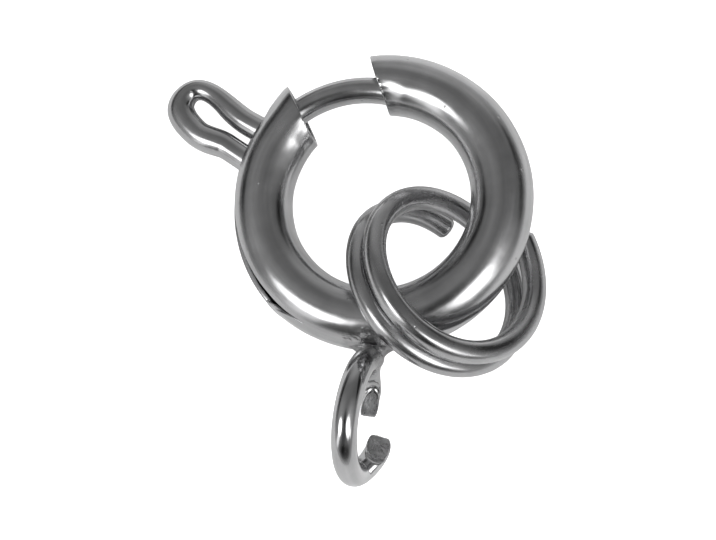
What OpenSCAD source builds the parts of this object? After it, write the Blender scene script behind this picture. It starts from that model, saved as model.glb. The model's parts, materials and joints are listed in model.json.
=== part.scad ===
// Spring ring clasp with a bent wire thumb loop, a soldered end loop and a split ring.
// The clasp is drawn flat about the centre of its ring, with the ring's axis along +Z.
// The last step leans it the way it lies on a table, on the thumb loop, the end loop and the split ring.

/* [Ring tube] */
// Outside diameter of the ring
ring_d = 18; // [17:0.25:20]
// Outside diameter of the tube that the ring is bent from
tube_d = 3.66; // [3.5:0.02:3.8]
// Wall of the tube
tube_wall = 0.32; // [0.25:0.01:0.36]

/* [Mouth] */
// Width of the mouth across the middle of the tube
mouth_w = 4.96; // [4:0.05:5.6]
// Direction of the mouth, anticlockwise from +X
mouth_at = 110.75; // [105:0.25:114]
// Taper of each side of the mouth
mouth_taper = 4; // [0:0.5:8]

/* [Bolt wire] */
// Diameter of the wire of the tongue and the thumb loop
wire_d = 1.58; // [1.3:0.02:1.66]
// How far the closed tongue reaches into the far end of the tube
tongue_entry = 0.8; // [0.4:0.05:1.2]
// Distance along the tube from the mouth to the thumb loop
thumb_back = 1.32; // [1.2:0.02:2.2]
// Radius that the tongue is bent to
tongue_r = 6.8; // [6.6:0.05:7.2]
// How far the tongue lies outside the middle of the tube where the thumb loop starts
tongue_out = 0.62; // [0.5:0.01:0.64]
// How much steeper than the tube the tongue runs where the thumb loop starts
tongue_lean = 5.6; // [5:0.1:6]
// Radius of the two bends at the foot of the thumb loop
foot_bend_r = 1.1; // [1:0.05:1.3]
// Radius of the bend at the head of the thumb loop
head_bend_r = 1.2; // [1.1:0.05:1.4]
// Straight length of the leg on the tongue's side
front_leg = 3.55; // [3:0.05:4.5]
// Straight length of the leg on the spring's side
back_leg = 5.35; // [4.5:0.05:6]
// Turn of the bend between the tongue and the front leg
front_turn = 85.7; // [83:0.1:88]
// Turn of the bend at the head
head_turn = 188.3; // [185:0.1:191]
// Turn of the bend between the back leg and the tail
back_turn = 85; // [80:0.5:88]
// Length of the straight tail that pushes on the spring
tail_len = 0.7; // [0.5:0.05:1]

/* [Slot] */
// Width of the slot that the thumb loop slides in
slot_w = 2.15; // [2:0.05:2.4]
// How much wider than the slot its drilled ends are
slot_relief = 0.14; // [0.1:0.02:0.3]
// Clearance between the resting thumb loop and the slot's end
slot_play = 0.3; // [0.2:0.05:0.5]
// Turn of the bolt from closed to fully open
open_turn = 50; // [44:1:52]
// Spare length of the slot past the open thumb loop
slot_spare = 0.9; // [0.5:0.1:1.4]

/* [Spring] */
// Diameter of the spring's wire
spring_wire = 0.3; // [0.25:0.01:0.32]
// Clearance between the spring and the bore
spring_fit = 0.2; // [0.15:0.05:0.3]
// Number of turns
spring_turns = 10; // [8:1:11]
// Gap at each end of the spring
spring_gap = 0.1; // [0.05:0.05:0.3]
// Thickness of the stop that closes the bore behind the spring
stop_t = 0.4; // [0.3:0.05:0.6]

/* [End loop] */
// Wire of the end loop
loop_wire = 1.45; // [1.3:0.05:1.6]
// Radius of the end loop at the middle of its wire
loop_r = 3.31; // [3:0.05:3.6]
// Place of the solder joint round the ring
loop_at = 266.8; // [264:0.2:270]
// Depth of the end loop's wire sunk in the solder and the tube
loop_seat = 0.31; // [0.2:0.01:0.33]
// Lean of the end loop along the ring
loop_lean = -6.4; // [-10:0.2:0]
// Droop of the end loop below the ring's plane
loop_droop = 6.9; // [4:0.1:9]
// Sideways spread of the near arm
near_spread = -5.8; // [-8:0.2:-3]
// Sideways spread of the far arm
far_spread = 10.4; // [6:0.2:13]
// Length of the near arm, as an angle from the solder joint
near_arm = 238.5; // [230:0.5:242]
// Length of the far arm, as an angle from the solder joint
far_arm = 90; // [80:1:96]
// Radius of the solder foot on the tube
foot_r = 1.33; // [1.1:0.01:1.4]
// Radius of the solder foot's neck
foot_neck_r = 0.84; // [0.78:0.01:1]
// How deep the solder foot reaches into the bore
foot_depth = 0.45; // [0.3:0.05:0.7]

/* [Split ring] */
// Wire of the split ring
split_wire = 1.33; // [1.2:0.01:1.4]
// Radius of the split ring at the middle of its wire
split_r = 5.21; // [5:0.05:5.6]
// Distance from turn to turn, as a share of the wire
split_pitch_share = 1.1; // [1.05:0.01:1.15]
// Clearance between the split ring and the tube where it leans on it
split_gap = 0.1; // [0.05:0.01:0.2]
// Place of the split ring round the ring
split_at = -51.4; // [-54:0.2:-49]
// How far the split ring's centre lies inside the tube's centre line
split_in = 1.06; // [0.9:0.02:1.2]
// How far the split ring's centre lies below the ring's plane
split_low = 0.29; // [0.2:0.01:0.4]
// Direction in which the split ring leans
split_towards = 22.7; // [20:0.5:26]
// Angle from the split ring's highest point to where it crosses over the tube
split_cross = 24.6; // [20:0.2:28]
// Direction of the split ring's first end before it is trimmed
split_start = 47.9; // [44:0.5:52]
// Part of the first turn that is trimmed away under the tube
split_trim = 0.11; // [0.1:0.01:0.2]
// Rise of the first end from the coil
near_rise = 1.24; // [0.8:0.02:1.4]
// Drop of the last end from the coil
far_drop = 0.71; // [0.5:0.01:0.9]
// Growth of the split ring's radius from the first end to the last
split_growth = 0.3; // [0:0.05:0.5]

/* [Rest] */
// Lean of the ring's axis from upright as the clasp lies
rest_tilt = 14.1; // [10:0.1:18]
// Direction that is low as the clasp lies
rest_low = 168.6; // [160:0.1:180]

/* [Hidden] */
$fn = 72;

tube_r = tube_d / 2;
ring_r = (ring_d - tube_d) / 2;
bore_r = tube_r - tube_wall;
wire_r = wire_d / 2;
cut_over = 1;

// Angle round the ring that a length along the middle of the tube takes
function along_tube(length) = length / ring_r * 180 / PI;
// Angle round the ring that a length along its outside takes
function along_outside(length) = length / (ring_d / 2) * 180 / PI;

mouth_half = asin(mouth_w / 2 / ring_r);
mouth_right = mouth_at - mouth_half;
mouth_left = mouth_at + mouth_half;
tip_at = mouth_right - along_tube(tongue_entry);
thumb_at = mouth_left + along_tube(thumb_back);

// The bolt wire is a run of straights and bends, each starting at a pose [x, y, heading]
function run_end(pose, length) =
    [pose[0] + length * cos(pose[2]), pose[1] + length * sin(pose[2]), pose[2]];
function bend_side(turn) = turn > 0 ? 1 : -1;
function bend_centre(pose, r, turn) =
    [pose[0] - bend_side(turn) * r * sin(pose[2]), pose[1] + bend_side(turn) * r * cos(pose[2])];
function bend_end(pose, r, turn) =
    let (centre = bend_centre(pose, r, turn), heading = pose[2] + turn)
    [centre[0] + bend_side(turn) * r * sin(heading), centre[1] - bend_side(turn) * r * cos(heading), heading];

thumb_r = ring_r + tongue_out;
tongue_end = [thumb_r * cos(thumb_at), thumb_r * sin(thumb_at), thumb_at + 90 - tongue_lean];
tongue_centre = bend_centre(tongue_end, tongue_r, 1);
front_start = bend_end(tongue_end, foot_bend_r, -front_turn);
head_start = run_end(front_start, front_leg);
back_start = bend_end(head_start, head_bend_r, head_turn);
back_end = run_end(back_start, back_leg);
tail_start = bend_end(back_end, foot_bend_r, -back_turn);
tail_end = run_end(tail_start, tail_len);
tail_at = atan2(tail_end[1], tail_end[0]);
back_bend = bend_centre(back_end, foot_bend_r, -back_turn);
bend_step = 10;
tongue_step = 4;
wire_sides = 18;

// Distance of the tongue's middle from the ring's centre, in a given direction
function tongue_reach(angle) =
    let (along = tongue_centre * [cos(angle), sin(angle)])
    along + sqrt(tongue_r * tongue_r - tongue_centre * tongue_centre + along * along);

// The slot starts before the front leg and ends past the open thumb loop
slot_from = thumb_at - along_outside(slot_play);
slot_to = atan2(back_bend[1], back_bend[0]) + open_turn + along_outside(slot_spare);
slot_end_d = slot_w + slot_relief;
slot_round = asin(slot_end_d / ring_d);

// The spring fills the bore from the tail to the stop in front of the solder foot
stop_to = loop_at - along_tube(foot_r);
stop_from = stop_to - along_tube(stop_t);
coil_r = bore_r - spring_fit - spring_wire / 2;
coil_from = (tail_at + 360) % 360 + along_tube(spring_gap + spring_wire / 2);
coil_to = stop_from - along_tube(spring_gap + spring_wire / 2);
coil_steps = 14;
coil_sides = 6;

loop_top = ring_d / 2 + loop_wire / 2 - loop_seat;
loop_wire_r = loop_wire / 2;

// The split ring leans until its turns touch the tube from above and from below
split_wire_r = split_wire / 2;
split_pitch = split_wire * split_pitch_share;
split_tilt = asin((tube_r + split_pitch / 2 + split_wire_r + split_gap) / (split_r * cos(split_cross)));
split_turns = 2;
split_flare = 0.6;
split_steps = 48;
split_sides = 16;

// A swept wire: rings of points round a path, closed by a flat cap at each end
function unit(v) = v / norm(v);
function path_direction(path, i) =
    unit(path[min(i + 1, len(path) - 1)] - path[max(i - 1, 0)]);
function ring_points(centre, direction, side, r, sides) =
    let (across = unit(side - (side * direction) * direction), over = cross(direction, across))
    [for (k = [0 : sides - 1]) centre + r * (cos(360 * k / sides) * across + sin(360 * k / sides) * over)];

module swept_wire(path, side, r, sides) {
    last = len(path) - 1;
    points = [for (i = [0 : last]) each ring_points(path[i], path_direction(path, i), side[i], r, sides)];
    walls = [for (i = [0 : last - 1]) for (k = [0 : sides - 1])
        let (a = i * sides + k, b = i * sides + (k + 1) % sides)
        each [[a, b, b + sides], [a, b + sides, a + sides]]];
    start_cap = [for (k = [1 : sides - 2]) [0, k + 1, k]];
    end_cap = [for (k = [1 : sides - 2]) [last * sides, last * sides + k, last * sides + k + 1]];
    polyhedron(points = points, faces = [for (f = concat(walls, start_cap, end_cap)) [f[2], f[1], f[0]]]);
}

// A torus stretch about the ring's axis, from one angle to another
module tube_stretch(from, to, r) {
    rotate([0, 0, from])
        rotate_extrude(angle = to - from)
            translate([ring_r, 0])
                circle(r = r);
}

// The mouth is a sawn cut whose sides open outwards
module mouth_cut() {
    near = ring_r - tube_r - cut_over;
    far = ring_d / 2 + cut_over;
    middle = ring_r * cos(mouth_half);
    near_half = mouth_w / 2 + (near - middle) * tan(mouth_taper);
    far_half = mouth_w / 2 + (far - middle) * tan(mouth_taper);
    rotate([0, 0, mouth_at])
        linear_extrude(height = tube_d + 2 * cut_over, center = true)
            polygon([[near, -near_half], [far, -far_half], [far, far_half], [near, near_half]]);
}

// The slot has a straight wall on each side and a drilled, slightly wider end
module slot_cut() {
    rotate([0, 0, slot_from + slot_round])
        rotate_extrude(angle = slot_to - slot_from - 2 * slot_round)
            translate([ring_r, -slot_w / 2])
                square([tube_r + cut_over, slot_w]);
    for (at = [slot_from + slot_round, slot_to - slot_round])
        rotate([0, 90, at])
            translate([0, 0, ring_r])
                cylinder(d = slot_end_d, h = tube_r + cut_over);
}

// One arm of the end loop: a stretch of torus that starts at the solder joint
module loop_arm(spread, start, turn) {
    rotate([0, 0, loop_at])
        translate([loop_top, 0, 0])
            rotate([0, 0, loop_lean])
                rotate([0, loop_droop, 0])
                    rotate([-spread, 0, 0])
                        translate([loop_r, 0, 0])
                            rotate([90, 0, 0])
                                rotate([0, 0, start])
                                    rotate_extrude(angle = turn)
                                        translate([loop_r, 0])
                                            circle(r = loop_wire_r);
}

module solder_foot() {
    base = ring_r + bore_r - foot_depth;
    shoulder = ring_d / 2;
    neck = loop_top;
    rotate([0, 90, loop_at])
        rotate_extrude()
            polygon([[0, base], [foot_r, base], [foot_r, shoulder], [foot_neck_r, neck], [0, neck]]);
}

module ring_tube() {
    color([0.62, 0.62, 0.63])
        difference() {
            union() {
                tube_stretch(mouth_left - 360 - along_tube(cut_over), mouth_right + along_tube(cut_over), tube_r);
                solder_foot();
                loop_arm(near_spread, 180 - near_arm, near_arm);
                loop_arm(far_spread, 180, far_arm);
            }
            tube_stretch(mouth_left - 360 - along_tube(2 * cut_over), stop_from - 360, bore_r);
            tube_stretch(stop_to - 360, mouth_right + along_tube(2 * cut_over), bore_r);
            mouth_cut();
            slot_cut();
        }
}

// Points along a bend of the wire, without its start
function bend_path(pose, r, turn) =
    let (centre = bend_centre(pose, r, turn), steps = ceil(abs(turn) / bend_step))
    [for (i = [1 : steps])
        let (heading = pose[2] + turn * i / steps)
        [centre[0] + bend_side(turn) * r * sin(heading), centre[1] - bend_side(turn) * r * cos(heading), 0]];

module bolt() {
    tongue_steps = ceil((thumb_at - tip_at) / tongue_step);
    tongue = [for (i = [0 : tongue_steps])
        let (angle = tip_at + (thumb_at - tip_at) * i / tongue_steps)
        [tongue_reach(angle) * cos(angle), tongue_reach(angle) * sin(angle), 0]];
    path = concat(
        tongue,
        bend_path(tongue_end, foot_bend_r, -front_turn),
        [[head_start[0], head_start[1], 0]],
        bend_path(head_start, head_bend_r, head_turn),
        [[back_end[0], back_end[1], 0]],
        bend_path(back_end, foot_bend_r, -back_turn),
        [[tail_end[0], tail_end[1], 0]]);
    side = [for (p = path) [0, 0, 1]];
    color([0.55, 0.55, 0.56])
        swept_wire(path, side, wire_r, wire_sides);
}

function coil_out(angle) = [cos(angle), sin(angle), 0];

module spring() {
    steps = spring_turns * coil_steps;
    place = [for (i = [0 : steps]) coil_from + (coil_to - coil_from) * i / steps];
    round_tube = [for (i = [0 : steps]) 360 * i / coil_steps];
    side = [for (i = [0 : steps]) cos(round_tube[i]) * coil_out(place[i]) + [0, 0, sin(round_tube[i])]];
    path = [for (i = [0 : steps]) ring_r * coil_out(place[i]) + coil_r * side[i]];
    color([0.5, 0.5, 0.5])
        swept_wire(path, side, spring_wire / 2, coil_sides);
}

// Height of the split ring's wire above the middle of its coil, after t turns
function split_height(t) =
    near_rise * pow(max(split_flare - t, 0) / split_flare, 2)
    - far_drop * pow(max(t - split_turns + split_flare, 0) / split_flare, 2)
    - split_pitch * (t - split_turns / 2);
function split_point(t) =
    let (r = split_r + split_growth * (t / split_turns - 0.5), angle = split_start - 360 * t)
    [r * cos(angle), r * sin(angle), split_height(t)];

module split_ring() {
    first = ceil(split_trim * split_steps);
    turns = [split_trim, for (i = [first + 1 : split_turns * split_steps]) i / split_steps];
    path = [for (t = turns) split_point(t)];
    side = [for (t = turns) [0, 0, 1]];
    place = ring_r - split_in;
    color([0.58, 0.58, 0.59])
        translate([place * cos(split_at), place * sin(split_at), -split_low])
            rotate([0, split_tilt, split_towards])
                swept_wire(path, side, split_wire_r, split_sides);
}

// Leans the flat clasp to the way it lies on the table
module at_rest() {
    rotate([0, 0, rest_low])
        rotate([0, rest_tilt, 0])
            rotate([0, 0, -rest_low])
                children();
}

at_rest() ring_tube();
at_rest() bolt();
at_rest() spring();
at_rest() split_ring();
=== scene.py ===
"""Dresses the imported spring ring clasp: a polished hollow ring tube, its bent wire bolt,
the spring inside, the soldered end loop and the split ring, lying on a white table."""

import json
import math

import bmesh
import bpy
import numpy as np
from mathutils import Matrix, Vector


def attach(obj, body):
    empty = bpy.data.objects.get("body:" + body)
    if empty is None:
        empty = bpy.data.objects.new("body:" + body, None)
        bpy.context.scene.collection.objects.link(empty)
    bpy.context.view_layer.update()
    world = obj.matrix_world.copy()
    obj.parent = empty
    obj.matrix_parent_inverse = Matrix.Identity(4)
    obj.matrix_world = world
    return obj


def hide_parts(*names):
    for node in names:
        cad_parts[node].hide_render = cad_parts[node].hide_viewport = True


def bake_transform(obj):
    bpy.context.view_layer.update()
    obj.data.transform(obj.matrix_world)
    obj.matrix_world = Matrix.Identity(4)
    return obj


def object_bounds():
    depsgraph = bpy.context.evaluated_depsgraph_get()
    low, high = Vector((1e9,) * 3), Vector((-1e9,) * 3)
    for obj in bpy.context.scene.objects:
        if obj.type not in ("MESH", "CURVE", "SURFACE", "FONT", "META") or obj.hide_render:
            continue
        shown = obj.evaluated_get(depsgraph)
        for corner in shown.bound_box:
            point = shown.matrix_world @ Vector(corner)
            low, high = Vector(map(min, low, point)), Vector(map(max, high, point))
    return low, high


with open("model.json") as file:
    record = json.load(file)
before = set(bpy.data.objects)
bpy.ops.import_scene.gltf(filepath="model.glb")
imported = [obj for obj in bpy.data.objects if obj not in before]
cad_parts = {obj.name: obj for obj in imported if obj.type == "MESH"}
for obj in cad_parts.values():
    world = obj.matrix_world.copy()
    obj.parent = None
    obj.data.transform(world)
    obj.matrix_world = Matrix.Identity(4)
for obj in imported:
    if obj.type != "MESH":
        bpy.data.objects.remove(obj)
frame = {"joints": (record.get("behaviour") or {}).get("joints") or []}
cad_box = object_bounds()

# The clasp is worked out flat about its ring's centre, in millimetres, and then laid down
MM = 0.001
HINGE = frame["joints"][0]
REST = np.array(Vector((0, 0, 1)).rotation_difference(Vector(HINGE["axis"])).to_matrix())

# Ring tube
RING_R = 7.17
TUBE_R = 1.83
TUBE_WALL = 0.32
BORE_R = TUBE_R - TUBE_WALL
RING_OUT = RING_R + TUBE_R

# Mouth: its width, the angle of its middle, the taper of its faces and how far in that skews the
# tube, the flare of its left end, and how its rims are rounded
MOUTH_W = 4.96
MOUTH_AT = 110.75
MOUTH_TAPER = 4.0
SKEW_REACH = 22.0
FLARE = 0.26
FLARE_REACH = 16.0
RIM_ROUND = 0.07

# Dents at the mouth's two ends: depth, and in degrees the reach along the tube and the middle and
# half width round it
LEFT_DENT = (0.1, 14.0, 140.0, 60.0)
RIGHT_DENT = (0.16, 15.0, 128.0, 62.0)

# Crimps in the dents: depth, and in degrees the reach along the tube and how far apart they are
CRIMP = 0.011
CRIMP_REACH = 11.0
CRIMP_STEP = 15.0

# Slow unevenness of the tube: height, waves and phase round the ring, waves and phase round the tube
WAVES = (
    (0.006, 5, 40, 2, 90),
    (0.006, 11, 10, 3, 60),
)

# Slot, as it looks: it lies above the tube's middle, and its upper edge has sprung up towards its
# far end. It starts SLOT_PLAY before the bend into the thumb loop and, with the bolt open, ends
# SLOT_SPARE past the bend out of it
SLOT_W = 1.66
SLOT_RISE = 0.34
SLOT_PLAY = 0.3
SLOT_SPARE = 0.9
SLOT_SPRUNG = 0.06
SPRUNG_FROM = 172.0
SPRUNG_REACH = 30.0
OPEN_TURN = HINGE["range_deg"][1]

# Lips of the slot: how they are rounded, how far the lower one has sprung out, over how many degrees
# that sets in, its angle below the tube's side and half its spread round the tube
LIP_ROUND = 0.15
LIP_SINK = 0.05
LIP_OUT = 0.12
LIP_EASE = 6.0
LIP_AT = 26.0
LIP_REACH = 42.0

# Where the slot runs out: over how many degrees, how high it ends, over how many degrees the
# mesh comes back down from there, half its width at the end, and how fast it narrows
SEAM_LEN = 19.0
SEAM_RISE = 1.12
SEAM_BACK = 24.0
SEAM_R = 0.04
RUN_OUT = 2.5

# Bolt wire: a tongue across the mouth, a thumb loop of two legs and a head, and a short tail
WIRE_R = 0.79
TONGUE_ENTRY = 0.8
TONGUE_R = 6.8
TONGUE_OUT = 0.62
TONGUE_LEAN = 5.6
THUMB_BACK = 1.32
FOOT_BEND_R = 1.1
HEAD_BEND_R = 1.2
FRONT_LEG = 3.55
BACK_LEG = 5.35
FRONT_TURN = 85.7
HEAD_TURN = 188.3
BACK_TURN = 85.0
TAIL_LEN = 0.7

# Spring, and the thickness of the stop that it pushes against inside the tube
SPRING_R = 0.15
SPRING_FIT = 0.2
SPRING_TURNS = 10
SPRING_GAP = 0.1
STOP_T = 0.4

# End loop: its place on the ring, how deep it sits in it, how it leans and droops, how far each arm
# is turned aside, and how far each reaches, in degrees from the solder
LOOP_WIRE_R = 0.725
LOOP_R = 3.31
LOOP_AT = 266.8
LOOP_SEAT = 0.31
LOOP_LEAN = -6.4
LOOP_DROOP = 6.9
NEAR_SPREAD = -5.8
FAR_SPREAD = 10.4
SPREAD_AT = 172.0
SPREAD_REACH = 16.0
NEAR_ARM = 249.0
FAR_ARM = 90.0

# Bends of its arms: how far up and aside, and where along the arm
NEAR_LIFT = 0.9
NEAR_SWAY = 0.5
NEAR_BEND_EARLY = 0.1
NEAR_BEND = 1.4
FAR_SWAY = 0.4
FAR_BEND_FROM = 185.0
FAR_BEND_REACH = 20.0
FAR_BACK = 0.3
FAR_BACK_FROM = 212.0
FAR_BACK_REACH = 40.0

# How much of its thickness the wire has lost at its far end, and from which share of its length
LOOP_PINCH = 0.3
LOOP_PINCH_FROM = 0.8

# Slopes that the nippers left on the end loop's ends, along x, y and z, and how much metal each
# takes at the wire's middle. They reach CUT_REACH along the wire. Cut ends are CUT_ROUGH rough
NEAR_CUT = ((0.27, -0.48, 1.68), 0.72)
FAR_CUT = ((0.25, -0.43, 1.5), 0.45)
SQUARE_CUT = ((0, 0, 0), 0.0)
CUT_REACH = 3.6
CUT_ROUGH = 0.02

# Solder under the end loop: its radius as the part has it, half its length along the tube and half
# its height, its neck, and how far it is sunk into the tube and goes up into the loop
FOOT_R = 1.33
FOOT_LONG = 1.5
FOOT_HIGH = 1.05
FOOT_NECK_R = 0.7
FOOT_SINK = 0.03
FOOT_IN = 0.1

# Its lumps: height, how many round it, and phase. They swell up the fillet's side, with the sine of
# FOOT_SWELL times the angle there and over FOOT_EVEN, and then fade towards the neck
FOOT_LUMPS = (
    (0.05, 3, 20),
    (0.035, 7, 80),
    (0.02, 12, 0),
)
FOOT_SWELL = 3
FOOT_EVEN = 1.4

# Split ring: its wire, how loosely its turns lie, and how much wider it grows over them
SPLIT_WIRE_R = 0.665
SPLIT_R = 5.21
SPLIT_TURNS = 2
SPLIT_LOOSE = 1.05
SPLIT_PITCH = 2 * SPLIT_WIRE_R * SPLIT_LOOSE
SPLIT_THICK = 1.035
SPLIT_SQUARE = 2.3
SPLIT_GROWTH = 0.3

# How far it clears the tube, where it hangs round the ring, how far in and how low, which way it
# leans, and how far askew it crosses the tube
SPLIT_GAP = 0.1
SPLIT_AT = -51.4
SPLIT_IN = 1.06
SPLIT_LOW = 0.29
SPLIT_TOWARDS = 22.7
SPLIT_CROSS = 24.6

# Where its wire starts, how much of a turn it lacks there, and how far its ends have sprung up and
# down, over SPLIT_FLARE of a turn
SPLIT_START = 47.9
SPLIT_TRIM = 0.11
NEAR_RISE = 1.24
FAR_DROP = 0.71
SPLIT_FLARE = 0.6

# How far the wires' ends are rounded, the angles of the rounding at which points lie, and the share
# of the end's radius that is left for its middle face
LOOP_END_ROUND = 0.1
BOLT_END_ROUND = 0.2
SPLIT_END_ROUND = 0.26
SPRING_END_ROUND = 0.03
CAP_ANGLES = (22.5, 45, 67.5, 90)
CAP_TIP = 0.02

# Points nearer than WELD are one, and where half the slot's width is under CLOSED it is shut
WELD = 0.0005
CLOSED = 0.001

# How finely the meshes are made: numbers of steps, and for a wire their length, or angle in a bend
TUBE_COLUMNS = 88
RIM_STEPS = 5
MOUTH_STEPS = 14
CORNER_STEPS = 12
SLOT_STEPS = 90
RUN_OUT_STEPS = 30
TIP_STEPS = 4
PLAIN_STEPS = 200
BEND_STEP = 3.0
RUN_STEP = 0.1
TONGUE_STEPS = 60
KNOT_EVERY = 6
TAIL_KNOT_EVERY = 3
SPLINE_STEP = 0.06
WIRE_STEP = 0.08
EASE_PASSES = 4
LOOP_STEPS = 200
FOOT_RINGS = 24
FOOT_SIDES = 64
SPLIT_STEPS = 420
SPLIT_STEP = 0.1
SPRING_STEPS = 28
SPRING_SIDES = 10
SPRING_CAP_RINGS = 2


# Small helpers

def sind(a):
    return np.sin(np.radians(a))


def cosd(a):
    return np.cos(np.radians(a))


def along_tube(length):
    return math.degrees(length / RING_R)


def along_outside(length):
    return math.degrees(length / RING_OUT)


def turn_x(a):
    return np.array([[1, 0, 0], [0, cosd(a), -sind(a)], [0, sind(a), cosd(a)]])


def turn_y(a):
    return np.array([[cosd(a), 0, sind(a)], [0, 1, 0], [-sind(a), 0, cosd(a)]])


def turn_z(a):
    return np.array([[cosd(a), -sind(a), 0], [sind(a), cosd(a), 0], [0, 0, 1]])


def smooth(t):
    t = np.clip(t, 0, 1)
    return t * t * (3 - 2 * t)


def lay_down(points):
    """Flat millimetres to the row's metres."""
    return np.asarray(points, float) @ REST.T * MM


def add_mesh(name, points, faces, grain, material, cut_material=None, cut_faces=0):
    """A smooth mesh from flat millimetres, with doubled points joined and faces turned outwards.
    grain holds, for each point, its place along the piece and across it, which the polish follows.
    The last cut_faces faces are cut ends, with a material of their own."""
    mesh = bpy.data.meshes.new(name)
    mesh.from_pydata(lay_down(points).tolist(), [], faces)
    layer = mesh.attributes.new("grain", "FLOAT_VECTOR", "POINT")
    layer.data.foreach_set("vector", np.asarray(grain, float).ravel())
    mesh.materials.append(material)
    if cut_faces:
        mesh.materials.append(cut_material)
        for face in mesh.polygons[len(faces) - cut_faces:]:
            face.material_index = 1
    work = bmesh.new()
    work.from_mesh(mesh)
    bmesh.ops.remove_doubles(work, verts=work.verts, dist=WELD * MM)
    bmesh.ops.recalc_face_normals(work, faces=work.faces)
    for face in work.faces:
        face.smooth = True
    work.to_mesh(mesh)
    work.free()
    piece = bpy.data.objects.new(name, mesh)
    bpy.context.scene.collection.objects.link(piece)
    return piece


def strip(first, second, closed):
    """Quads between two rows of point numbers."""
    count = len(first)
    last = count if closed else count - 1
    return [(first[k], first[(k + 1) % count], second[(k + 1) % count], second[k]) for k in range(last)]


# Wires

def frames_along(path, start_side):
    """Directions and side vectors carried along a path without twist."""
    ahead = np.gradient(path, axis=0)
    ahead /= np.linalg.norm(ahead, axis=1)[:, None]
    sides = []
    side = np.array(start_side, float)
    for direction in ahead:
        side = side - (side @ direction) * direction
        side /= np.linalg.norm(side)
        sides.append(side)
    return ahead, np.array(sides)


def even(path, step):
    """The same path with points at even steps."""
    length = np.concatenate([[0], np.cumsum(np.linalg.norm(np.diff(path[:, :3], axis=0), axis=1))])
    at = np.linspace(0, length[-1], int(length[-1] / step) + 1)
    return np.stack([np.interp(at, length, column) for column in path.T], 1)


def ease(path, passes):
    """Softens the joints between straights and bends, and keeps both ends."""
    for _ in range(passes):
        path[1:-1] = (path[:-2] + 2 * path[1:-1] + path[2:]) / 4
    return path


def sweep(path, radius, start_side, round_by, sides=40, cap_rings=6, rough=0.0,
          flat=1.0, square=2.0, cuts=(SQUARE_CUT, SQUARE_CUT)):
    """A wire along a path. flat squeezes it along its side vector, and square over 2 makes its
    section squarer. Each of the cuts at its ends is a slope along x, y and z, which takes metal away
    on the side that it points to, and how much it takes at the middle. Returns the points, the
    faces with those of the cuts last, the grain and how many faces the cuts have."""
    ahead, side = frames_along(path, start_side)
    over = np.cross(ahead, side)
    last = len(path) - 1
    radius = np.broadcast_to(np.asarray(radius, float), (len(path),))
    flat = np.broadcast_to(np.asarray(flat, float), (len(path),))
    length = np.concatenate([[0], np.cumsum(np.linalg.norm(np.diff(path, axis=0), axis=1))])
    angle = np.arange(sides) * 2 * math.pi / sides
    reach = (abs(np.cos(angle)) ** square + abs(np.sin(angle)) ** square) ** (-1 / square)
    across_side, across_over = reach * np.cos(angle), reach * np.sin(angle)
    dice = np.random.default_rng(1)

    def ring(k, r, shift, bumps=0.0):
        across = r * (flat[k] * across_side[:, None] * side[k] + across_over[:, None] * over[k])
        rise = dice.normal(0, 1, sides) * bumps + shift
        ways = zip((1, -1), (length[k], length[-1] - length[k]), cuts)
        for inward, away, (slope, at_middle) in ways:
            depth = np.maximum(across @ np.asarray(slope, float) + at_middle, 0)
            rise = rise + inward * (1 - smooth(away / CUT_REACH)) * depth
        grain = np.stack([length[k] + rise, r * across_side, r * across_over], 1)
        return path[k] + across + rise[:, None] * ahead[k], grain

    def cap(k, sign):
        r = radius[k]
        out = sign * round_by
        shares = np.linspace(1, 0, cap_rings + 1)[1:-1]
        rounded = [(r - round_by * (1 - cosd(a)), out * sind(a), 0.0) for a in CAP_ANGLES]
        face = [((r - round_by) * share, out, rough) for share in shares]
        return rounded, face + [((r - round_by) * CAP_TIP, out, 0.0)]

    start_round, start_face = cap(0, -1)
    end_round, end_face = cap(last, 1)
    rings = [ring(0, *x) for x in reversed(start_face)] + [ring(0, *x) for x in reversed(start_round)]
    rings += [ring(k, radius[k], 0.0) for k in range(last + 1)]
    rings += [ring(last, *x) for x in end_round] + [ring(last, *x) for x in end_face]
    rows = [list(range(n * sides, (n + 1) * sides)) for n in range(len(rings))]
    wall, cut = [], []
    for n, (first, second) in enumerate(zip(rows[:-1], rows[1:])):
        inside = len(start_face) <= n < len(rows) - 1 - len(end_face)
        (wall if inside else cut).extend(strip(first, second, True))
    cut += [tuple(rows[0]), tuple(rows[-1])]
    points = np.concatenate([place for place, _ in rings])
    grain = np.concatenate([grain for _, grain in rings])
    return points, wall + cut, grain, len(cut)


def spline(knots, step):
    """A smooth curve through given knots, whose columns may hold more than a place."""
    knots = np.asarray(knots, float)
    ends = np.concatenate([[2 * knots[0] - knots[1]], knots, [2 * knots[-1] - knots[-2]]])
    parts = []
    for a, b, c, d in zip(ends[:-3], ends[1:-2], ends[2:-1], ends[3:]):
        count = max(int(np.linalg.norm(c[:3] - b[:3]) / step), 2)
        t = np.arange(count)[:, None] / count
        parts.append(0.5 * (2 * b + (c - a) * t + (2 * a - 5 * b + 4 * c - d) * t ** 2
                            + (3 * b - a - 3 * c + d) * t ** 3))
    return np.concatenate(parts + [knots[-1:]])


# Ring tube

def mouth_angle(rho):
    """Angle from the mouth's middle to its cut face, at a distance from the ring's centre."""
    middle = RING_R * math.cos(math.asin(MOUTH_W / 2 / RING_R))
    slope = math.tan(math.radians(MOUTH_TAPER))
    reach = math.cos(math.radians(MOUTH_TAPER)) * (MOUTH_W / 2 - middle * slope)
    return MOUTH_TAPER + np.degrees(np.arcsin(reach / rho))


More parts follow.
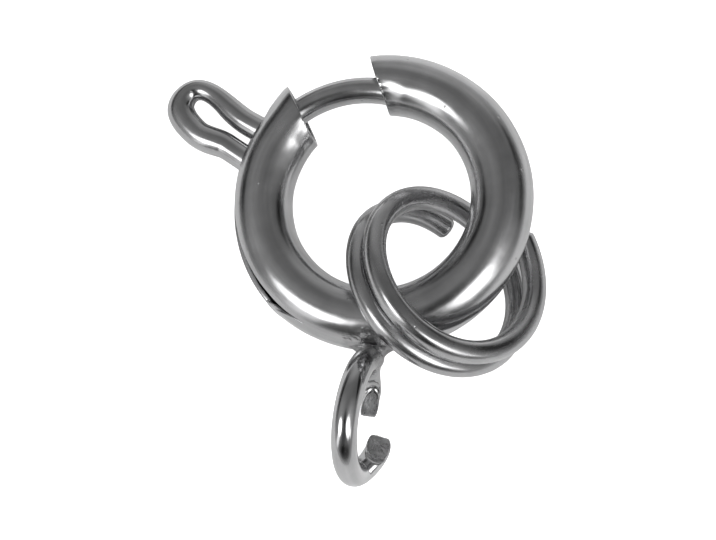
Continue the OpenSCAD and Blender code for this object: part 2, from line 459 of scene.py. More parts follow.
MOUTH_LEFT = MOUTH_AT + float(mouth_angle(RING_R))
MOUTH_RIGHT = MOUTH_AT - float(mouth_angle(RING_R))
THUMB_AT = MOUTH_LEFT + along_tube(THUMB_BACK)
STOP_TO = LOOP_AT - along_tube(FOOT_R)
STOP_FROM = STOP_TO - along_tube(STOP_T)


def bend_side(turn):
    """1 for a bend to the left, and -1 for one to the right."""
    return 1 if turn > 0 else -1


def bend(pose, r, turn):
    """Points of a bend from a pose (x, y, heading) without the start, and the pose at its end."""
    x, y, heading = pose
    side = bend_side(turn)
    cx, cy = x - side * r * sind(heading), y + side * r * cosd(heading)
    count = int(abs(turn) / BEND_STEP)
    at = heading + turn * np.arange(1, count + 1) / count
    points = np.stack([cx + side * r * sind(at), cy - side * r * cosd(at), 0 * at], 1)
    return points, (points[-1, 0], points[-1, 1], heading + turn)


def run(pose, length):
    """Points of a straight from a pose without the start, and the pose at its end."""
    x, y, heading = pose
    at = np.linspace(0, length, int(length / RUN_STEP) + 1)[1:]
    points = np.stack([x + at * cosd(heading), y + at * sind(heading), 0 * at], 1)
    return points, (points[-1, 0], points[-1, 1], heading)


def bolt_poses():
    """Where each straight and bend of the wire starts, as (x, y, heading), as the part has them."""
    thumb_r = RING_R + TONGUE_OUT
    pose = (thumb_r * cosd(THUMB_AT), thumb_r * sind(THUMB_AT), THUMB_AT + 90 - TONGUE_LEAN)
    poses = [pose]
    for kind, size, turn in (("bend", FOOT_BEND_R, -FRONT_TURN), ("run", FRONT_LEG, 0),
                             ("bend", HEAD_BEND_R, HEAD_TURN), ("run", BACK_LEG, 0),
                             ("bend", FOOT_BEND_R, -BACK_TURN), ("run", TAIL_LEN, 0)):
        pose = bend(pose, size, turn)[1] if kind == "bend" else run(pose, size)[1]
        poses.append(pose)
    return poses


BOLT_POSES = bolt_poses()
BACK_END, TAIL_START, TAIL_END = BOLT_POSES[4:7]
TAIL_AT = math.degrees(math.atan2(TAIL_END[1], TAIL_END[0])) % 360

# Middle line of the thumb loop, whose wire the bending left uneven: x, y and the wire's radius
THUMB_LOOP = (
    (-8.10, 5.12, 0.77),
    (-8.65, 5.54, 0.76),
    (-9.15, 6.00, 0.74),
    (-9.70, 6.55, 0.68),
    (-10.30, 7.05, 0.64),
    (-10.90, 7.36, 0.63),
    (-11.45, 7.40, 0.65),
    (-11.92, 7.15, 0.70),
    (-12.25, 6.68, 0.78),
    (-12.32, 6.14, 0.84),
    (-12.08, 5.56, 0.85),
    (-11.62, 4.98, 0.84),
    (-11.08, 4.48, 0.83),
    (-10.42, 4.14, 0.85),
    (-9.70, 3.86, 0.83),
    (-9.10, 3.50, 0.79),
)


def wire_knots(places, height):
    """Knots of the plain wire, as x, y, height and radius."""
    zeros = np.zeros(len(places))
    return np.c_[places, zeros + height, zeros + WIRE_R]


def bolt_path():
    """The wire's middle and its radius, from the tongue's tip round the thumb loop to the tail."""
    start = BOLT_POSES[0]
    centre = np.array([start[0] - TONGUE_R * sind(start[2]), start[1] + TONGUE_R * cosd(start[2])])
    tip_at = MOUTH_RIGHT - along_tube(TONGUE_ENTRY)
    at = np.linspace(tip_at, THUMB_AT, TONGUE_STEPS)[::KNOT_EVERY]
    along = centre[0] * cosd(at) + centre[1] * sind(at)
    reach = along + np.sqrt(TONGUE_R ** 2 - centre @ centre + along ** 2)
    tongue = wire_knots(np.stack([reach * cosd(at), reach * sind(at)], 1), 0)
    front = wire_knots(bend(start, FOOT_BEND_R, -FRONT_TURN)[0][::KNOT_EVERY, :2], SLOT_RISE)
    back = wire_knots(bend(BACK_END, FOOT_BEND_R, -BACK_TURN)[0][::KNOT_EVERY, :2], SLOT_RISE)
    tail = wire_knots(run(TAIL_START, TAIL_LEN)[0][::TAIL_KNOT_EVERY, :2], 0)
    loop = np.array([(x, y, SLOT_RISE, r) for x, y, r in THUMB_LOOP])
    # The bends leave out the knots that would lie too near to the loop's own
    knots = np.concatenate([tongue, front[:-1], loop, back[2:], tail])
    return ease(even(spline(knots, SPLINE_STEP), WIRE_STEP), EASE_PASSES)


def bolt_mesh():
    line = bolt_path()
    return sweep(line[:, :3], line[:, 3], (0, 0, 1), BOLT_END_ROUND)


def slot_span():
    """Where the slot starts and ends round the ring."""
    cx = TAIL_START[0] - FOOT_BEND_R * sind(TAIL_START[2]) * bend_side(-BACK_TURN)
    cy = TAIL_START[1] + FOOT_BEND_R * cosd(TAIL_START[2]) * bend_side(-BACK_TURN)
    to = math.degrees(math.atan2(cy, cx)) % 360 + OPEN_TURN + along_outside(SLOT_SPARE)
    return THUMB_AT - along_outside(SLOT_PLAY), to


SLOT_FROM, SLOT_TO = slot_span()


def tube_rows():
    """Angles round the ring, with the heights of the slot's upper and lower edge at each. Where
    there is no slot both are the same."""
    end_r = SLOT_W / 2
    first = SLOT_FROM + along_outside(SLOT_W / 2)
    last = SLOT_TO - along_outside(SLOT_W / 2)
    left = MOUTH_LEFT + along_tube(RIM_ROUND)
    right = MOUTH_RIGHT + 360 - along_tube(RIM_ROUND)
    quarter = np.linspace(0, 90, CORNER_STEPS)
    tip_quarter = np.linspace(0, 90, TIP_STEPS)[1:]
    run_out = np.linspace(0, 1, RUN_OUT_STEPS)[1:]
    left_over = (1 - run_out) ** RUN_OUT
    tip = along_outside(1) * SEAM_R * sind(tip_quarter)
    near_end = first - along_outside(1) * end_r * cosd(quarter)
    after = np.linspace(last + SEAM_LEN + tip[-1], right, PLAIN_STEPS)[1:]
    parts = [
        (np.linspace(left, near_end[0], MOUTH_STEPS)[:-1], 0, 0),
        (near_end, end_r * sind(quarter), 0),
        (np.linspace(first, last, SLOT_STEPS)[1:], end_r, 0),
        (last + SEAM_LEN * run_out, SEAM_R + (end_r - SEAM_R) * left_over, 1 - left_over),
        (last + SEAM_LEN + tip, SEAM_R * cosd(tip_quarter), 1),
        (after, 0, 1 - smooth((after - after[0]) / SEAM_BACK)),
    ]
    angles = np.concatenate([a for a, _, _ in parts])
    half = np.concatenate([np.broadcast_to(h, a.shape) for a, h, _ in parts])
    half = np.where(half < CLOSED, 0, half)
    middle = np.concatenate([np.broadcast_to(m, a.shape) for a, _, m in parts])
    middle = SLOT_RISE + (SEAM_RISE - SLOT_RISE) * middle
    sprung = SLOT_SPRUNG * smooth((angles - SPRUNG_FROM) / SPRUNG_REACH) * smooth(half / SLOT_W * 2)
    return angles, middle + half + sprung, middle - half


def dent(from_end, phi, depth, reach, middle, half_width):
    """How deep the tube is pressed in, at a distance in degrees from one end of the mouth."""
    across = smooth(1 - abs(phi % 360 - middle) / half_width)
    crimps = CRIMP * (1 - smooth(from_end / CRIMP_REACH)) * sind((phi - middle) * 360 / CRIMP_STEP)
    return (depth * (1 - smooth(from_end / reach)) + crimps) * across


def tube_point(angle, r, phi):
    """A point of the tube: its place round the ring, its radius, and its angle round the tube."""
    rho = RING_R + r * cosd(phi)
    from_left = angle - MOUTH_LEFT
    from_right = MOUTH_RIGHT + 360 - angle
    lean_left = (1 - smooth(from_left / SKEW_REACH)) * (mouth_angle(rho) - mouth_angle(RING_R))
    lean_right = (1 - smooth(from_right / SKEW_REACH)) * (mouth_angle(rho) - mouth_angle(RING_R))
    flare = FLARE * (1 - smooth(from_left / FLARE_REACH)) ** 2 * np.clip(cosd(phi), 0, 1)
    beside_slot = smooth((angle - SLOT_FROM) / LIP_EASE)
    beside_slot = beside_slot * smooth((SLOT_TO + LIP_EASE - angle) / LIP_EASE)
    below = (phi + 180) % 360 - 180 + LIP_AT
    lip = LIP_OUT * beside_slot * smooth(1 - abs(below) / LIP_REACH)
    dents = dent(from_left, phi, *LEFT_DENT) + dent(from_right, phi, *RIGHT_DENT)
    wave = sum(height * sind(angle * ring + ring_phase) * sind(phi * round_tube + phase)
               for height, ring, ring_phase, round_tube, phase in WAVES)
    r = r + flare + lip + wave - dents
    rho = RING_R + r * cosd(phi)
    a = angle + lean_left - lean_right
    return np.stack(np.broadcast_arrays(rho * cosd(a), rho * sind(a), r * sind(phi)), -1)


def tube_grain(points):
    """Places along the tube from the mouth on, and across it."""
    points = np.asarray(points)
    rho = np.hypot(points[:, 0], points[:, 1])
    along = np.radians((np.degrees(np.arctan2(points[:, 1], points[:, 0])) - MOUTH_AT) % 360) * RING_R
    return np.stack([along, rho - RING_R, points[:, 2]], 1)


def rim_profile():
    """Insets and radii across the mouth's rim, rounded outside and inside."""
    turns = np.linspace(0, 90, RIM_STEPS)[1:]
    outside = [(RIM_ROUND * (1 - sind(a)), TUBE_R - RIM_ROUND * (1 - cosd(a))) for a in turns]
    inside = [(RIM_ROUND * (1 - cosd(a)), BORE_R + RIM_ROUND * (1 - sind(a))) for a in turns[:-1]]
    return outside + [(0.0, BORE_R + RIM_ROUND)] + inside


def lip_profile():
    """Steps into the slot and depths across its lip, rounded outside and inside."""
    turns = np.linspace(0, 90, RIM_STEPS)[1:]
    deep = TUBE_WALL - LIP_ROUND
    outside = [(LIP_SINK * sind(a), LIP_ROUND * (1 - cosd(a))) for a in turns]
    inside = [(LIP_SINK * cosd(a), deep + LIP_ROUND * sind(a)) for a in turns[:-1]]
    return outside + [(LIP_SINK, deep)] + inside


def ring_tube_mesh():
    """The tube's outer and inner skin, joined by the mouth's rims and the slot's lips."""
    angles, high, low = tube_rows()
    columns = np.arange(TUBE_COLUMNS + 1) / TUBE_COLUMNS
    points, faces = [], []

    def skin(r):
        start = np.degrees(np.arcsin(high / TUBE_R))[:, None]
        stop = 360 + np.degrees(np.arcsin(low / TUBE_R))[:, None]
        phi = start + (stop - start) * columns[None, :]
        grid = tube_point(angles[:, None], r, phi)
        base = len(points)
        points.extend(grid.reshape(-1, 3))
        return base + np.arange(grid.shape[0] * grid.shape[1]).reshape(grid.shape[:2])

    outer, inner = skin(TUBE_R), skin(BORE_R)
    for numbers in (outer, inner):
        for top, bottom in zip(numbers[:-1], numbers[1:]):
            faces += strip(list(top), list(bottom), False)

    def add_ring(ring):
        base = len(points)
        points.extend(ring)
        return list(range(base, base + len(ring)))

    # Rims of the mouth
    phi = 360 * columns[:-1]
    for row, sign, face_at in ((0, -1, MOUTH_LEFT), (-1, 1, MOUTH_RIGHT + 360)):
        before = list(outer[row][:-1])
        for inset, r in rim_profile():
            at = face_at - sign * along_tube(inset)
            ring = add_ring(tube_point(np.full(phi.shape, at), r, phi))
            faces += strip(before, ring, True)
            before = ring
        faces += strip(before, list(inner[row][:-1]), True)

    # Lips of the slot, along its edge, which goes round it in millimetres along and up the tube
    open_rows = np.where(high > low)[0]
    upper = [(k, 0) for k in np.concatenate([[open_rows[0] - 1], open_rows, [open_rows[-1] + 1]])]
    lower = [(k, TUBE_COLUMNS) for k in open_rows[::-1]]
    loop = upper + lower
    edge = np.array([(angles[k] / along_outside(1), low[k] if j else high[k]) for k, j in loop])
    ahead = np.roll(edge, -1, axis=0) - np.roll(edge, 1, axis=0)
    ahead /= np.linalg.norm(ahead, axis=1)[:, None]
    toward = np.stack([ahead[:, 1], -ahead[:, 0]], 1)
    before = [int(outer[k][j]) for k, j in loop]
    for step_in, depth in lip_profile():
        place, height = (edge + toward * step_in).T
        turn = np.degrees(np.arcsin(height / TUBE_R))
        ring = add_ring(tube_point(place * along_outside(1), TUBE_R - depth, turn))
        faces += strip(before, ring, True)
        before = ring
    faces += strip(before, [int(inner[k][j]) for k, j in loop], True)
    return points, faces, tube_grain(points)


# End loop

def loop_point(angle, spread):
    """A point on the middle of the end loop's wire."""
    top = RING_OUT + LOOP_WIRE_R - LOOP_SEAT
    local = np.array([LOOP_R + LOOP_R * cosd(angle), 0, LOOP_R * sind(angle)])
    turned = turn_z(LOOP_LEAN) @ turn_y(LOOP_DROOP) @ turn_x(-spread) @ local
    return turn_z(LOOP_AT) @ (turned + np.array([top, 0, 0]))


def end_loop_path():
    """The wire's middle, from the near arm's end through the solder to the far arm's end."""
    angles = np.linspace(180 - NEAR_ARM, 180 + FAR_ARM, LOOP_STEPS)
    spread = NEAR_SPREAD + (FAR_SPREAD - NEAR_SPREAD) * smooth((angles - SPREAD_AT) / SPREAD_REACH)
    path = np.array([loop_point(a, s) for a, s in zip(angles, spread)])
    near_end = smooth(NEAR_BEND_EARLY - angles / (NEAR_ARM - 180)) ** NEAR_BEND
    path[:, 0] += NEAR_SWAY * near_end
    path[:, 2] += NEAR_LIFT * near_end
    far_end = smooth((angles - FAR_BEND_FROM) / FAR_BEND_REACH)
    path[:, 0] += FAR_SWAY * (smooth((angles - FAR_BACK_FROM) / FAR_BACK_REACH) - FAR_BACK) * far_end
    return path


def end_loop_mesh():
    line = even(end_loop_path(), WIRE_STEP)
    share = np.linspace(0, 1, len(line))
    flat = 1 - LOOP_PINCH * smooth((share - LOOP_PINCH_FROM) / (1 - LOOP_PINCH_FROM))
    return sweep(line, LOOP_WIRE_R, (1, 0, 0), LOOP_END_ROUND, rough=CUT_ROUGH,
                 flat=flat, cuts=(NEAR_CUT, FAR_CUT))


def solder_foot_mesh():
    """The solder between the loop and the tube: a lumpy fillet that runs out on the tube's side."""
    neck = RING_OUT + LOOP_WIRE_R - LOOP_SEAT
    points, faces = [], []
    around = np.arange(FOOT_SIDES) * 360 / FOOT_SIDES
    lumps = sum(height * sind(around * count + phase) for height, count, phase in FOOT_LUMPS)
    for k in range(FOOT_RINGS + 1):
        turn = 90 * k / FOOT_RINGS
        along_r = FOOT_LONG - (FOOT_LONG - FOOT_NECK_R) * sind(turn)
        up_r = FOOT_HIGH - (FOOT_HIGH - FOOT_NECK_R) * sind(turn)
        ripple = 1 + lumps * (1 + sind(FOOT_SWELL * turn)) / FOOT_EVEN
        across, up = along_r * ripple * cosd(around), up_r * ripple * sind(around)
        on_tube = RING_R + np.sqrt(TUBE_R ** 2 - up ** 2) - FOOT_SINK
        surface = np.sqrt(on_tube ** 2 - across ** 2)
        out = surface + (neck + FOOT_IN - surface) * (1 - cosd(turn))
        points.extend(np.stack([out, across, up], 1) @ turn_z(LOOP_AT).T)
    rows = np.arange((FOOT_RINGS + 1) * FOOT_SIDES).reshape(-1, FOOT_SIDES).tolist()
    for first, second in zip(rows[:-1], rows[1:]):
        faces += strip(first, second, True)
    faces += [tuple(rows[0]), tuple(rows[-1])]
    return points, faces, points


# Split ring

SPLIT_LEAN = (TUBE_R + SPLIT_PITCH + SPLIT_GAP) / (SPLIT_R * cosd(SPLIT_CROSS))
SPLIT_TURN = turn_z(SPLIT_TOWARDS) @ turn_y(math.degrees(math.asin(SPLIT_LEAN)))


def split_ring_path():
    """The wire's middle, from the end that has sprung up to the one that has sprung down."""
    t = np.linspace(SPLIT_TRIM, SPLIT_TURNS, SPLIT_STEPS)
    r = SPLIT_R + SPLIT_GROWTH * (t / SPLIT_TURNS - 0.5)
    rise = NEAR_RISE * (np.clip(SPLIT_FLARE - t, 0, None) / SPLIT_FLARE) ** 2
    drop = FAR_DROP * (np.clip(t - SPLIT_TURNS + SPLIT_FLARE, 0, None) / SPLIT_FLARE) ** 2
    height = rise - drop - SPLIT_PITCH * (t - SPLIT_TURNS / 2)
    angle = SPLIT_START - 360 * t
    path = np.stack([r * cosd(angle), r * sind(angle), height], 1)
    place = RING_R - SPLIT_IN
    centre = np.array([place * cosd(SPLIT_AT), place * sind(SPLIT_AT), -SPLIT_LOW])
    return path @ SPLIT_TURN.T + centre


def split_ring_mesh():
    return sweep(even(split_ring_path(), SPLIT_STEP), SPLIT_WIRE_R, SPLIT_TURN[:, 2], SPLIT_END_ROUND,
                 rough=CUT_ROUGH, flat=SPLIT_THICK, square=SPLIT_SQUARE)


# Spring

SPRING_FROM = TAIL_AT + along_tube(SPRING_GAP + SPRING_R)
SPRING_TO = STOP_FROM - along_tube(SPRING_GAP + SPRING_R)


def spring_path():
    coil_r = BORE_R - SPRING_FIT - SPRING_R
    t = np.linspace(0, 1, SPRING_TURNS * SPRING_STEPS + 1)
    place = SPRING_FROM + (SPRING_TO - SPRING_FROM) * t
    turn = 360 * SPRING_TURNS * t
    rho = RING_R + coil_r * cosd(turn)
    return np.stack([rho * cosd(place), rho * sind(place), coil_r * sind(turn)], 1)


def spring_mesh():
    return sweep(spring_path(), SPRING_R, (0, 0, 1), SPRING_END_ROUND,
                 sides=SPRING_SIDES, cap_rings=SPRING_CAP_RINGS)


# Materials

# Noises of the metal: waves in a metre, or in a millimetre for those along the grain, and detail
CLOUD_NOISE = (420, 5)
DENT_NOISE = (600, 2)
SPECK_NOISE = (9000, 2)
DRAWN_NOISE = (6.0, 3)
BROAD_NOISE = (1.4, 2)
SKIN_NOISE = (1100, 3)
CRUST_NOISE = (5500, 3)

# How much longer the waves are along the wire than across it, as a factor on their number
DRAWN_OUT = (0.1, 1, 1)
BROAD_OUT = (0.06, 1, 1)

# The part of its range in which a noise mostly lies
NOISE_RANGE = (0.3, 0.7)

# What the noises do to the tone and to the roughness
CLOUD_TONE = (0.86, 1.1)
BROAD_TONE = (0.84, 1.14)
CLOUD_ROUGH = (0.7, 1.4)
DRAWN_ROUGH = 0.2

# Depths of the bumps
LINE_DEPTH = 0.004
DENT_DEPTH = 0.04
SPECK_DEPTH = 0.0012
CRUST_DEPTH = 0.07

# Pits: how many in a millimetre each way, their radius, the share of it that is flat, and depth
PIT_COUNT = 0.8
PIT_R = 0.09
PIT_FLAT = 0.3
PIT_DEPTH = 0.02

# Skin round the solder: its middle, how ragged its edge is, the share of its reach over which it is
# whole, and how dark it is
SOLDER_UP = 0.3
SOLDER_AT = turn_z(LOOP_AT) @ np.array([RING_OUT + LOOP_WIRE_R - LOOP_SEAT, 0, SOLDER_UP])
SKIN_RAGGED = 0.6
SKIN_WHOLE = 0.3
SKIN_TONE = 0.65

# Table: its colour, and how much it glows in the metal besides the light that falls on it
TABLE_WHITE = 0.8
TABLE_GLOW = 0.05


def node_material(name):
    material = bpy.data.materials.new(name)
    material.use_nodes = True
    tree = material.node_tree
    shader = next(n for n in tree.nodes if n.type == "BSDF_PRINCIPLED")
    return material, tree, shader


class Nodes:
    """A short way to add nodes to a tree."""

    def __init__(self, tree):
        self.tree = tree

    def add(self, kind, links=None, **values):
        """A node with its inputs linked or set by name, and its own settings in lower case."""
        node = self.tree.nodes.new("ShaderNode" + kind)
        for name, value in values.items():
            if name[0].islower():
                setattr(node, name, value)
        for name, value in values.items():
            if not name[0].islower():
                node.inputs[name.replace("_", " ")].default_value = value
        for name, source in (links or {}).items():
            self.tree.links.new(source, node.inputs[name])
        return node

    def noise(self, vector, scale, detail):
        return self.add("TexNoise", {"Vector": vector}, Scale=scale, Detail=detail).outputs["Fac"]

    def spread(self, value, low, high, to_low, to_high, smooth_step=False):
        """Maps low to high onto to_low to to_high, clamped."""
        node = self.add("MapRange", {"Value": value}, From_Min=low, From_Max=high,
                        To_Min=to_low, To_Max=to_high)
        node.interpolation_type = "SMOOTHSTEP" if smooth_step else "LINEAR"
        return node.outputs["Result"]

    def vary(self, noise, low, high):
        """Maps a noise onto low to high."""
        return self.spread(noise, *NOISE_RANGE, low, high)

    def math(self, operation, first, second):
        node = self.add("Math", operation=operation)
        for socket, value in zip(node.inputs, (first, second)):
            if isinstance(value, (int, float)):
                socket.default_value = value
            else:
                self.tree.links.new(value, socket)
        return node.outputs["Value"]

    def times(self, vector, scale):
        node = self.add("VectorMath", {0: vector}, operation="MULTIPLY")
        node.inputs[1].default_value = scale
        return node.outputs["Vector"]

    def bump(self, height, depth, before=None):
        """A bump of so many millimetres."""
        node = self.add("Bump", {"Height": height}, Strength=1.0, Distance=depth * MM)
        if before:
            self.tree.links.new(before, node.inputs["Normal"])
        return node.outputs["Normal"]

    def shade(self, colour, factor):
        node = self.add("Mix", {"B": factor}, data_type="RGBA", blend_type="MULTIPLY", Factor=1.0,
                        A=(*colour, 1))
        return node.outputs["Result"]


def metal(name, colour, rough, lines=0.3, dents=0.3, stain=0.0):
    """Polished metal: faint drawn lines along it, a soft unevenness, a few small pits, and round the
    solder, as far as stain says in millimetres, a dark and rough skin."""
    material, tree, shader = node_material(name)
    make = Nodes(tree)
    shader.inputs["Metallic"].default_value = 1.0
    grain = make.add("Attribute", attribute_name="grain").outputs["Vector"]
    place = make.add("TexCoord").outputs["Object"]
    cloud = make.noise(place, *CLOUD_NOISE)
    drawn = make.noise(make.times(grain, DRAWN_OUT), *DRAWN_NOISE)
    broad = make.noise(make.times(grain, BROAD_OUT), *BROAD_NOISE)
    tone = make.math("MULTIPLY", make.vary(cloud, *CLOUD_TONE), make.vary(broad, *BROAD_TONE))
    polish = make.math("ADD", make.vary(cloud, CLOUD_ROUGH[0] * rough, CLOUD_ROUGH[1] * rough),
                       make.vary(drawn, -DRAWN_ROUGH * rough, DRAWN_ROUGH * rough))
    seeds = make.add("TexVoronoi", {"Vector": grain}, Scale=PIT_COUNT).outputs["Distance"]
    edge = PIT_R * PIT_COUNT
    hollow = make.spread(seeds, PIT_FLAT * edge, edge, -1.0, 0.0, smooth_step=True)
    normal = make.bump(drawn, LINE_DEPTH * lines)
    normal = make.bump(make.noise(place, *DENT_NOISE), DENT_DEPTH * dents, normal)
    normal = make.bump(make.noise(place, *SPECK_NOISE), SPECK_DEPTH * (lines + dents), normal)
    normal = make.bump(hollow, PIT_DEPTH, normal)
    if stain:
        tone, normal = solder_skin(make, place, stain, tone, normal)
    tree.links.new(make.shade(colour, tone), shader.inputs["Base Color"])
    tree.links.new(polish, shader.inputs["Roughness"])
    tree.links.new(normal, shader.inputs["Normal"])
    return material


def solder_skin(make, place, reach, tone, normal):
    """Darkens the tone and roughens the normal round the solder, as far as reach in millimetres."""
    away = make.add("VectorMath", {0: place}, operation="DISTANCE")
    away.inputs[1].default_value = tuple(lay_down(SOLDER_AT))
    uneven = make.vary(make.noise(place, *SKIN_NOISE), -SKIN_RAGGED * MM, SKIN_RAGGED * MM)
    ragged = make.math("ADD", away.outputs["Value"], uneven)
    skin = make.spread(ragged, SKIN_WHOLE * reach * MM, reach * MM, 1.0, 0.0, smooth_step=True)
    crust = make.math("MULTIPLY", make.noise(place, *CRUST_NOISE), skin)
    tone = make.math("MULTIPLY", tone, make.spread(skin, 0, 1, 1.0, SKIN_TONE))
    return tone, make.bump(crust, CRUST_DEPTH, normal)


def white_table():
    """A white table. The camera sees it evenly white, and the metal sees it lit and shaded."""
    material, tree, shader = node_material("table_white")
    make = Nodes(tree)
    shader.inputs["Base Color"].default_value = (TABLE_WHITE, TABLE_WHITE, TABLE_WHITE, 1)
    shader.inputs["Roughness"].default_value = 1.0
    shader.inputs["Specular IOR Level"].default_value = 0.0
    shader.inputs["Emission Color"].default_value = (1, 1, 1, 1)
    seen = make.add("LightPath").outputs["Is Camera Ray"]
    tree.links.new(make.spread(seen, 0, 1, TABLE_GLOW, 1.0), shader.inputs["Emission Strength"])
    return material


CHROME = (0.5, 0.5, 0.505)
CUT_METAL = metal("cut_metal", (0.38, 0.38, 0.385), 0.27, lines=0.5, dents=6.0)
TUBE_METAL = metal("tube_metal", CHROME, 0.19, stain=2.3)
LOOP_METAL = metal("loop_metal", CHROME, 0.12, stain=2.3)
WIRE_METAL = metal("wire_metal", CHROME, 0.19, lines=0.4)
SPLIT_METAL = metal("split_ring_metal", (0.47, 0.47, 0.475), 0.23, lines=0.5, dents=0.25)
SOLDER_METAL = metal("solder_metal", (0.42, 0.42, 0.425), 0.26, dents=2.0, stain=2.6)
SPRING_METAL = metal("spring_steel", (0.35, 0.35, 0.36), 0.3)


# Pieces

def add_wire(name, shape, material):
    """A swept wire, with its cut ends in the rough metal of a cut."""
    points, faces, grain, cut_faces = shape
    return add_mesh(name, points, faces, grain, material, CUT_METAL, cut_faces)


tube = add_mesh("tube_shell", *ring_tube_mesh(), TUBE_METAL)
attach(tube, "clasp")
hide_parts("ring_tube")

foot = add_mesh("solder_foot", *solder_foot_mesh(), SOLDER_METAL)
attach(foot, "clasp")

end_loop = add_wire("end_loop", end_loop_mesh(), LOOP_METAL)
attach(end_loop, "clasp")

bolt = add_wire("bolt_wire", bolt_mesh(), WIRE_METAL)
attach(bolt, "bolt")
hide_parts("bolt")

split = add_wire("split_ring_wire", split_ring_mesh(), SPLIT_METAL)
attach(split, "clasp")
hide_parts("split_ring")

spring = add_wire("spring_coil", spring_mesh(), SPRING_METAL)
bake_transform(spring)
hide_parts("spring")


# Table: its far edge is close by on the upper left, where the metal sees the darker room past it

TABLE_HALF = 0.6
TABLE_EDGE = 0.037
TABLE_EDGE_AT = 150.0
TABLE_GAP = 0.00003


def add_table():
    mesh = bpy.data.meshes.new("table")
    corners = np.array([(-2 * TABLE_HALF, -TABLE_HALF, 0), (TABLE_EDGE, -TABLE_HALF, 0),
                        (TABLE_EDGE, TABLE_HALF, 0), (-2 * TABLE_HALF, TABLE_HALF, 0)])
    corners = corners @ turn_z(TABLE_EDGE_AT).T + (0, 0, cad_box[0][2] - TABLE_GAP)
    mesh.from_pydata(corners.tolist(), [], [(0, 1, 2, 3)])
    mesh.materials.append(white_table())
    table = bpy.data.objects.new("table", mesh)
    bpy.context.scene.collection.objects.link(table)
    return table


table = add_table()


# Camera: the place from which the photo was taken, worked out in the ring's own flat frame

VIEW = np.array([0.154, -0.271, 0.0])
VIEW[2] = math.sqrt(1 - VIEW @ VIEW)
RIGHT = np.cross([0, 1, 0], VIEW)
RIGHT /= np.linalg.norm(RIGHT)
UP = np.cross(VIEW, RIGHT)
CAMERA_AWAY = 88.5
IMAGE_W, IMAGE_H = 716, 540
FOCAL_PX = 1500
RING_PX = (380.8, 200.0)
SENSOR = 36.0
NEAREST, FARTHEST = 0.005, 5


def add_camera():
    data = bpy.data.cameras.new("camera")
    data.sensor_width = SENSOR
    data.lens = FOCAL_PX / IMAGE_W * SENSOR
    data.shift_x = (IMAGE_W / 2 - RING_PX[0]) / IMAGE_W
    data.shift_y = (RING_PX[1] - IMAGE_H / 2) / IMAGE_W
    data.clip_start = NEAREST
    data.clip_end = FARTHEST
    camera = bpy.data.objects.new("camera", data)
    bpy.context.scene.collection.objects.link(camera)
    turned = Matrix((REST @ np.stack([RIGHT, UP, VIEW], 1)).tolist()).to_4x4()
    camera.matrix_world = Matrix.Translation(Vector(lay_down(VIEW * CAMERA_AWAY))) @ turned
    bpy.context.scene.camera = camera


add_camera()

# Light: a grey studio with a bright softbox on the left and another at the lower right, and over the
# table a broad light that isn't seen in the metal

LIGHT_AWAY = 0.35
LIGHT_SIZE = 0.3
LIGHT_LEVEL = 2.1

# Brightness of the studio from straight down, through the horizon, to straight up
STUDIO_LEVELS = (
    (0.0, 0.5),
    (0.5, 0.62),
    (0.535, 0.5),
    (0.59, 0.28),
    (0.66, 0.19),
    (1.0, 0.18),
)

# What hangs in it: the azimuth of its middle and the angle of that from straight up, half its width
# and height, the turn of its sides, how soft its edge is, and its level, under zero for a dark card
STUDIO_CARDS = (
    (206, 50, 14, 13, 30, 0.3, 3.8),
    (215, 71, 8, 14, 0, 0.6, 1.2),
    (188, 54, 26, 30, 0, 0.9, 0.18),
    (313, 38, 12, 19, 16, 0.4, 3.8),
    (327, 62, 5, 7, 0, 0.5, 1.5),
    (332, 44, 18, 28, 0, 0.9, 0.42),
    (85, 68, 30, 15, 0, 0.7, 0.22),
    (130, 40, 50, 26, 0, 0.9, 0.04),
    (28, 67, 22, 9, 0, 0.4, -0.19),
    (150, 92, 44, 17, 0, 0.5, -0.42),
    (258, 40, 15, 30, 0, 0.5, -0.09),
    (272, 70, 36, 14, 0, 0.4, -0.12),
    (225, 15, 12, 10, 0, 0.5, -0.12),
)

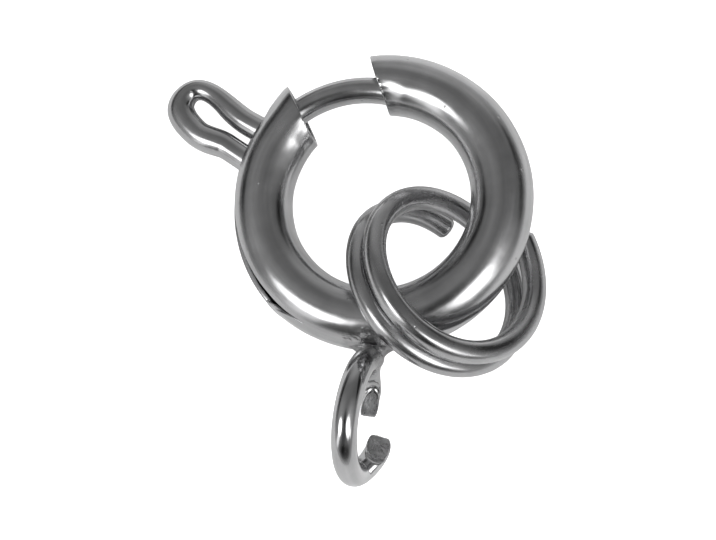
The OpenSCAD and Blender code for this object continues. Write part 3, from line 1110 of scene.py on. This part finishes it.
# The dark cards leave at least this much
DARKEST = 0.02


def add_table_light():
    """Lights the table and shades it under the clasp."""
    data = bpy.data.lights.new("table_light", "AREA")
    data.size = LIGHT_SIZE
    data.energy = LIGHT_LEVEL * math.pi * LIGHT_SIZE ** 2
    light = bpy.data.objects.new("table_light", data)
    light.location = (0, 0, LIGHT_AWAY)
    light.visible_glossy = False
    bpy.context.scene.collection.objects.link(light)


def studio_world():
    """The world's shader: its brightness depends only on the direction. The camera itself sees it
    white, as it sees the table."""
    world = bpy.data.worlds.new("studio")
    world.use_nodes = True
    tree = world.node_tree
    make = Nodes(tree)
    background = next(n for n in tree.nodes if n.type == "BACKGROUND")
    direction = make.add("TexCoord").outputs["Generated"]
    height = make.add("SeparateXYZ", {"Vector": direction}).outputs["Z"]
    ramp = make.add("ValToRGB", {"Fac": make.spread(height, -1, 1, 0, 1)})
    while len(ramp.color_ramp.elements) < len(STUDIO_LEVELS):
        ramp.color_ramp.elements.new(0.5)
    for element, (at, level) in zip(ramp.color_ramp.elements, STUDIO_LEVELS):
        element.position = at
        element.color = (level, level, level, 1)
    total = ramp.outputs["Color"]
    for azimuth, zenith, wide, high, turn, soft, level in STUDIO_CARDS:
        middle = turn_z(azimuth) @ turn_y(zenith)
        sides = Matrix((middle @ turn_z(turn)).tolist())
        local = make.add("Mapping", {"Vector": direction}, vector_type="TEXTURE",
                         Location=tuple(middle[:, 2]), Rotation=sides.to_euler(),
                         Scale=(float(sind(high)), float(sind(wide)), 1.0))
        out = make.add("VectorMath", {0: local.outputs["Vector"]}, operation="LENGTH").outputs["Value"]
        card = make.spread(out, 1 - soft, 1 + soft, level, 0.0, smooth_step=True)
        total = make.math("ADD", total, card)
    seen = make.add("LightPath").outputs["Is Camera Ray"]
    total = make.math("MAXIMUM", total, seen)
    total = make.math("MAXIMUM", total, DARKEST)
    tree.links.new(total, background.inputs["Color"])
    return world


add_table_light()
bpy.context.scene.world = studio_world()
bpy.context.scene.view_settings.view_transform = "Standard"
